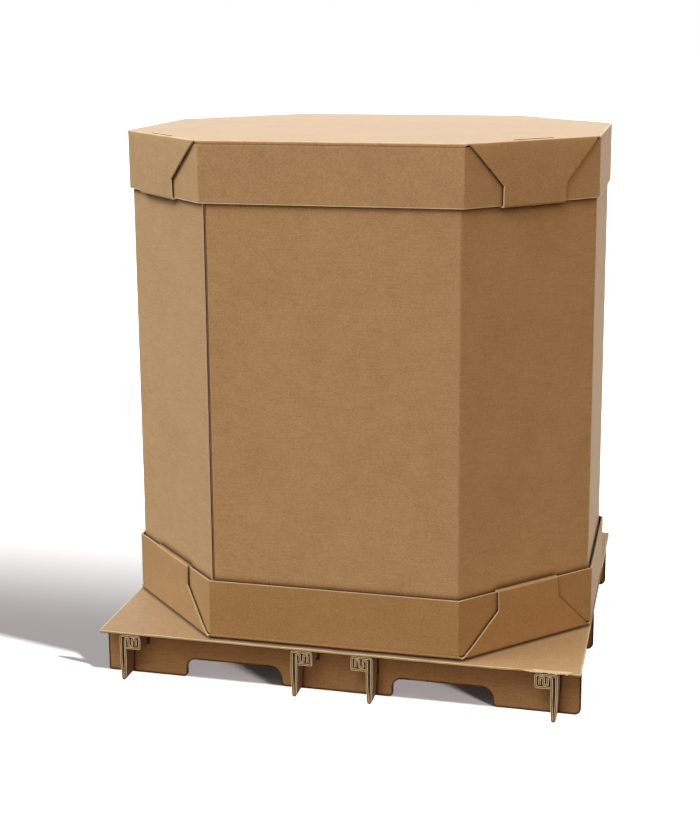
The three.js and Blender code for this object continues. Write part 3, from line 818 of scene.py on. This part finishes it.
def makeSleeve(liner, rawEdge, s):
    x, y, cut = s["halfX"], s["halfY"], s["cut"]
    behind = s["board"] + s["glueLine"]
    flapFoldX = -(x - cut) + behind * math.sqrt(2)
    height = s["top"] - s["bottom"]
    frontRight = x - cut
    sheet = startSheet("sleeve_sheet", frontRight - flapFoldX, height, ((frontRight + flapFoldX) / 2, 0, 0))
    bpy.ops.mesh.select_all(action="SELECT")
    bpy.ops.transform.rotate(value=math.radians(-90), orient_axis="X", center_override=(0, 0, 0))
    bpy.ops.transform.translate(value=(0, -y, (s["top"] + s["bottom"]) / 2))
    corners = [(frontRight, -y), (x, -(y - cut)), (x, y - cut), (frontRight, y), (-frontRight, y),
               (-x, y - cut), (-x, -(y - cut)), (-frontRight, -y)]
    for here, there in zip(corners, corners[1:]):
        pickEdges(sheet, lambda p: near(p.x, here[0]) and near(p.y, here[1]))
        extrudeBy(there[0] - here[0], there[1] - here[1], 0)
    pickEdges(sheet, lambda p: near(p.x, flapFoldX) and near(p.y, -y))
    extrudeBy(-s["glueFlap"] * diagonal, s["glueFlap"] * diagonal, 0)
    for here, radius in [(corner, s["foldRadius"]) for corner in corners[:-1]] + [((flapFoldX, -y), s["flapRadius"])]:
        pickEdges(sheet, lambda p: near(p.x, here[0]) and near(p.y, here[1]))
        bevelFold(radius, 45, 4)
    for i in range(1, 16):
        bisectAt((0, 0, s["bottom"] + height * i / 16), (0, 0, 1))
    closeEdit()
    dress(sheet, liner, rawEdge)
    markBorder(sheet)
    unfold(sheet, lambda f: f.normal.y < -0.99, (1, 0, 0), (0, 0, 1))
    thicken(sheet, s["board"])
    return sheet


sleeve = makeSleeve(sleeveLiner, doubleCut, sleeveSetup)
limitToBox(sleeve, *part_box("sleeve"))
finishPiece(sleeve, "sleeve")
print("sleeve done")

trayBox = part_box("tray")
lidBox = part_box("lid")
reach = (sleeveSetup["halfX"] + sleeveSetup["halfY"] - sleeveSetup["cut"]) / math.sqrt(2) + 14.5 * mm
lid = cap("lid_sheet", 595 * mm, 485 * mm, reach, lidLiner, singleCut, {**capSetup, "wallHeight": 148 * mm, "kinkHeight": 102 * mm, "aside": 26 * mm})
bpy.ops.object.select_all(action="DESELECT")
lid.select_set(True)
lid.location.z = lidBox[1][2] - 1.4 * mm
bpy.ops.object.transform_apply(location=True, rotation=True, scale=True)
limitToBox(lid, *lidBox)
finishPiece(lid, "lid")
print("lid done")

tray = cap("tray_sheet", 599 * mm, 489 * mm, reach, trayLiner, trayCut, {**capSetup, "wallHeight": 147 * mm, "kinkHeight": 101 * mm, "tongueRise": (-0.6 * mm, -0.6 * mm)})
bpy.ops.object.select_all(action="DESELECT")
tray.select_set(True)
tray.rotation_euler.x = math.pi
tray.location.z = trayBox[0][2] + 3 * mm
bpy.ops.object.transform_apply(location=True, rotation=True, scale=True)
limitToBox(tray, *trayBox)
finishPiece(tray, "tray")
print("tray done")


# Pallet: a flat deck sheet on four folded runners and three slotted cross boards
deckSetup = {
    "sizeX": 1200 * mm,
    "sizeY": 1000 * mm,
    "top": 127 * mm,
    "board": 7 * mm,
    "rim": 4 * mm,
    "waveDepth": 2.4 * mm,  # the front edge is crushed a little uneven
    "waveLength": 95 * mm,
    "waveReach": 60 * mm,
    "setIn": 2.5 * mm,
    "tornFrom": 452 * mm,  # where the top liner is torn loose at the front right
    "tornTo": 584 * mm,
    "tornDepth": 3 * mm,
}


def makeDeck(liner, rawEdge, s):
    sheet = startSheet("deck_board", s["sizeX"], s["sizeY"], (0, 0, s["top"]))
    bpy.ops.mesh.select_all(action="SELECT")
    bpy.ops.mesh.subdivide(number_cuts=79)
    closeEdit()
    front = -s["sizeY"] / 2
    for vertex in sheet.data.vertices:
        share = max(0, 1 - (vertex.co.y - front) / s["waveReach"]) ** 2
        here = vertex.co.x / s["waveLength"]
        sag = 0.5 + 0.6 * noise.noise(Vector((here, 0, 0))) + 0.3 * noise.noise(Vector((here * 3.7, 5, 0)))
        vertex.co.z -= share * s["waveDepth"] * min(max(sag, 0), 1)
        torn = min(max((vertex.co.x - s["tornFrom"] + 10 * mm) / (10 * mm), 0), max((s["tornTo"] - vertex.co.x) / (8 * mm), 0), 1)
        vertex.co.y += share * (s["setIn"] * (0.5 + 0.5 * noise.noise(Vector((here * 2.3, 9, 0)))) + s["tornDepth"] * torn)
    dress(sheet, liner, rawEdge)
    edges = [((side * (s["sizeX"] / 2 - s["rim"]), 0, 0), (1, 0, 0)) for side in (-1, 1)]
    edges += [((0, side * (s["sizeY"] / 2 - s["rim"]), 0), (0, 1, 0)) for side in (-1, 1)]
    markBorder(sheet, edges, lambda p: True)
    unfold(sheet, lambda f: True, (1, 0, 0), (0, 1, 0))
    thicken(sheet, s["board"])
    return sheet


def makeTear(paper, s):  # the loose strip of liner, hanging ragged over the deck's front edge
    width, height = s["tornTo"] - s["tornFrom"], s["board"] - 0.4 * mm
    sheet = startSheet("torn_strip", width, height, ((s["tornFrom"] + s["tornTo"]) / 2, 0, 0))
    bpy.ops.mesh.select_all(action="SELECT")
    bpy.ops.mesh.subdivide(number_cuts=49)
    bpy.ops.transform.rotate(value=math.radians(-90), orient_axis="X", center_override=(0, 0, 0))
    closeEdit()
    for vertex in sheet.data.vertices:
        along = (vertex.co.x - s["tornFrom"]) / width
        rag = noise.noise(Vector((vertex.co.x / (24 * mm), 3, 0))) + 0.7 * noise.noise(Vector((vertex.co.x / (6 * mm), 7, 0)))
        hang = min(1, max(0.08, 0.62 + 0.55 * rag)) * min(1, 6 * along, 9 * (1 - along))
        depth = (height / 2 - vertex.co.z) * hang
        vertex.co.z = s["top"] - 0.1 * mm - depth
        vertex.co.y = -s["sizeY"] / 2 + s["tornDepth"] * max(0, 1 - 1.6 * depth / height) + 0.1 * mm
    openEdit(sheet, "VERT")  # the strip ends in a point on both sides
    bpy.ops.mesh.select_all(action="SELECT")
    bpy.ops.mesh.remove_doubles(threshold=0.005 * mm)
    closeEdit()
    dress(sheet, paper, paper)
    unfold(sheet, lambda f: True, (1, 0, 0), (0, 0, 1))
    thicken(sheet, 0.45 * mm)
    return sheet


deck = makeDeck(deckLiner, deckCut, deckSetup)
deck = joinPieces([deck, makeTear(tornPaper, deckSetup)], "deck_board")
limitToBox(deck, *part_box("deck_sheet"))
finishPiece(deck, "deck_sheet")
print("deck done")

runnerSetup = {
    "board": 5 * mm,
    "halfLength": 500 * mm,
    "top": 119.7 * mm,
    "headDepth": 36 * mm,
    "bladeGapTop": 6 * mm,
    "tipGap": 1.2 * mm,
    "headPitch": 9.5 * mm,
    "layerGap": 1 * mm,
    "foldRadius": 3.6 * mm,
    "lapHeight": 60.5 * mm,
    "slotHalf": 4.5 * mm,
}
crossBoardYs = (-444.5 * mm, -58 * mm, 408 * mm)


def makeRunner(name, placeX, side, liner, rawEdge, s):
    t = s["board"]
    half = t / 2
    top = s["top"] - half
    low = s["top"] - s["headDepth"] + half
    inner = 2 * t + s["bladeGapTop"] - half
    far = 54 * mm - half
    centre = t + s["bladeGapTop"] / 2
    tip = (t + s["tipGap"]) / 2
    step = t + s["layerGap"]
    path = [(2 * t + s["bladeGapTop"] + s["layerGap"], low), (far, low), (far, top), (half, top), (half, 50 * mm),
            (centre - tip, half), (centre + tip, half), (inner, 50 * mm), (inner, top - step)]
    for ply in (1, 2, 3):
        ends = (top - step, low + step) if ply % 2 else (low + step, top - step)
        path += [(inner + ply * s["headPitch"], ends[0]), (inner + ply * s["headPitch"], ends[1])]
    path = [(side * x, z) for x, z in path]
    width = abs(path[1][0] - path[0][0])
    sheet = startSheet(name, width, 2 * s["halfLength"], ((path[0][0] + path[1][0]) / 2, 0, path[0][1]))
    for here, there in zip(path[1:], path[2:]):
        pickEdges(sheet, lambda p: near(p.x, here[0]) and near(p.z, here[1]))
        extrudeBy(there[0] - here[0], 0, there[1] - here[1])
    for before, here, after in zip(path, path[1:], path[2:]):
        pickEdges(sheet, lambda p: near(p.x, here[0]) and near(p.z, here[1]))
        a = Vector((here[0] - before[0], here[1] - before[1]))
        b = Vector((after[0] - here[0], after[1] - here[1]))
        turn = math.degrees(a.angle(b))
        if turn > 20:
            radius = min(s["foldRadius"], 0.48 * min(a.length, b.length) / math.tan(math.radians(turn) / 2))
            bevelFold(radius, turn, 4)
    bisectAt((0, 0, s["lapHeight"]), (0, 0, 1))
    for y in crossBoardYs:
        for end in (-1, 1):
            bisectAt((0, y + end * s["slotHalf"], 0), (0, 1, 0))

    def inSlot(face):
        c = face.calc_center_median()
        return c.z < s["lapHeight"] and any(abs(c.y - y) < s["slotHalf"] for y in crossBoardYs)

    pickFaces(sheet, inSlot)
    bpy.ops.mesh.delete(type="FACE")
    closeEdit()
    dress(sheet, liner, rawEdge)
    markBorder(sheet)
    unfold(sheet, lambda f: abs(f.normal.z) > 0.99, (1, 0, 0), (0, 1, 0))
    thicken(sheet, t, 0)
    sheet.location.x = placeX
    bpy.ops.object.select_all(action="DESELECT")
    sheet.select_set(True)
    bpy.ops.object.transform_apply(location=True, rotation=True, scale=True)
    return sheet


for name, placeX, side in (("runner_left_outer", -546 * mm, 1), ("runner_left_inner", -102 * mm, 1),
                           ("runner_right_inner", 102 * mm, -1), ("runner_right_outer", 546 * mm, -1)):
    runner = makeRunner(f"folded_{name}", placeX, side, shadedPalletLiner, foldedCut, runnerSetup)
    limitToBox(runner, *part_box(name))
    finishPiece(runner, name)
print("runners done")

boardSetup = {
    "rim": 7 * mm,
    "board": 7 * mm,
    "halfLength": 598 * mm,
    "top": 119.7 * mm,
    "lapHeight": 60 * mm,
    "headFloor": 82.7 * mm,
    "slotHeight": 48 * mm,
    "slotNear": 142 * mm,
    "slotFar": 387 * mm,
    "headWidth": 54 * mm,
    "bladeWidth": 16 * mm,
    "clearance": 1 * mm,
}


def makeCrossBoard(name, placeY, liner, rawEdge, s):
    end, top, gap = s["halfLength"], s["top"], s["clearance"]
    sheet = startSheet(name, 2 * end, top, (0, top / 2, 0))
    slots = []
    for x, side in ((-546 * mm, 1), (-102 * mm, 1), (102 * mm, -1), (546 * mm, -1)):
        for width, floorZ in ((s["headWidth"], s["headFloor"]), (s["bladeWidth"], s["lapHeight"])):
            a, b = sorted((x - side * gap, x + side * (width + gap)))
            slots.append((a, b, floorZ, 1))
    for side in (-1, 1):
        a, b = sorted((side * s["slotNear"], side * s["slotFar"]))
        slots.append((a, b, -1, s["slotHeight"]))
    for x in sorted({round(v, 6) for slot in slots for v in slot[:2]}):
        bisectAt((x, 0, 0), (1, 0, 0))
    for y in (s["slotHeight"], s["lapHeight"], s["headFloor"]):
        bisectAt((0, y, 0), (0, 1, 0))

    def inSlot(face):
        c = face.calc_center_median()
        return any(a < c.x < b and low < c.y < high for a, b, low, high in slots)

    pickFaces(sheet, inSlot)
    bpy.ops.mesh.delete(type="FACE")
    bpy.ops.mesh.select_all(action="SELECT")
    bpy.ops.mesh.dissolve_limited(angle_limit=math.radians(1))
    for x, y, radius in ((-end, 0, 6), (end, 0, 16), (-s["slotFar"], s["slotHeight"], 22), (s["slotNear"], s["slotHeight"], 22),
                         (-s["slotNear"], s["slotHeight"], 30), (s["slotFar"], s["slotHeight"], 30),
                         (-s["slotFar"], 0, 12), (-s["slotNear"], 0, 12), (s["slotNear"], 0, 12), (s["slotFar"], 0, 12)):
        bpy.ops.mesh.select_mode(type="VERT")
        bpy.ops.mesh.select_all(action="DESELECT")
        mesh = bmesh.from_edit_mesh(sheet.data)
        for vertex in mesh.verts:
            vertex.select_set(near(vertex.co.x, x) and near(vertex.co.y, y))
        bmesh.update_edit_mesh(sheet.data)
        bpy.ops.mesh.bevel(offset_type="OFFSET", offset=radius * mm, segments=6, affect="VERTICES")
    bpy.ops.mesh.select_all(action="SELECT")
    bpy.ops.mesh.inset(use_boundary=True, use_even_offset=True, thickness=s["rim"], depth=0)
    closeEdit()
    sheet.rotation_euler.x = math.pi / 2
    sheet.location.y = placeY - s["board"] / 2
    bpy.ops.object.select_all(action="DESELECT")
    sheet.select_set(True)
    bpy.ops.object.transform_apply(location=True, rotation=True, scale=True)
    dress(sheet, liner, rawEdge)
    markBorder(sheet, (), lambda p: True)
    unfold(sheet, lambda f: True, (1, 0, 0), (0, 0, 1))
    thicken(sheet, s["board"])
    return sheet


crossBoards = []
for name, placeY in zip(("cross_board_front", "cross_board_middle", "cross_board_back"), crossBoardYs):
    board = makeCrossBoard(f"slotted_{name}", placeY, shadedPalletLiner, palletCut, boardSetup)
    limitToBox(board, *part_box(name))
    finishPiece(board, name, 20)
    crossBoards.append(board)
print("cross boards done")

# The floor's shadow is the box's own. A card inside the deck stands in for its corner, and the runners are left out.
card = startSheet("shadow_card", 1.19, 0.98, (0, 0, 0.1235))
bpy.ops.mesh.select_mode(type="VERT")
picked = bmesh.from_edit_mesh(card.data)
for vertex in picked.verts:
    vertex.select_set(vertex.co.x < 0 and vertex.co.y < 0)
bmesh.update_edit_mesh(card.data)
bpy.ops.mesh.bevel(offset_type="OFFSET", offset=0.12, segments=1, affect="VERTICES")
closeEdit()
for kind in ("visible_camera", "visible_diffuse", "visible_glossy", "visible_transmission"):
    setattr(card, kind, False)
shadowLamp.light_linking.blocker_collection = onlyFor("blocks_shadow_lamp", [card, tray, sleeve, lid] + crossBoards)
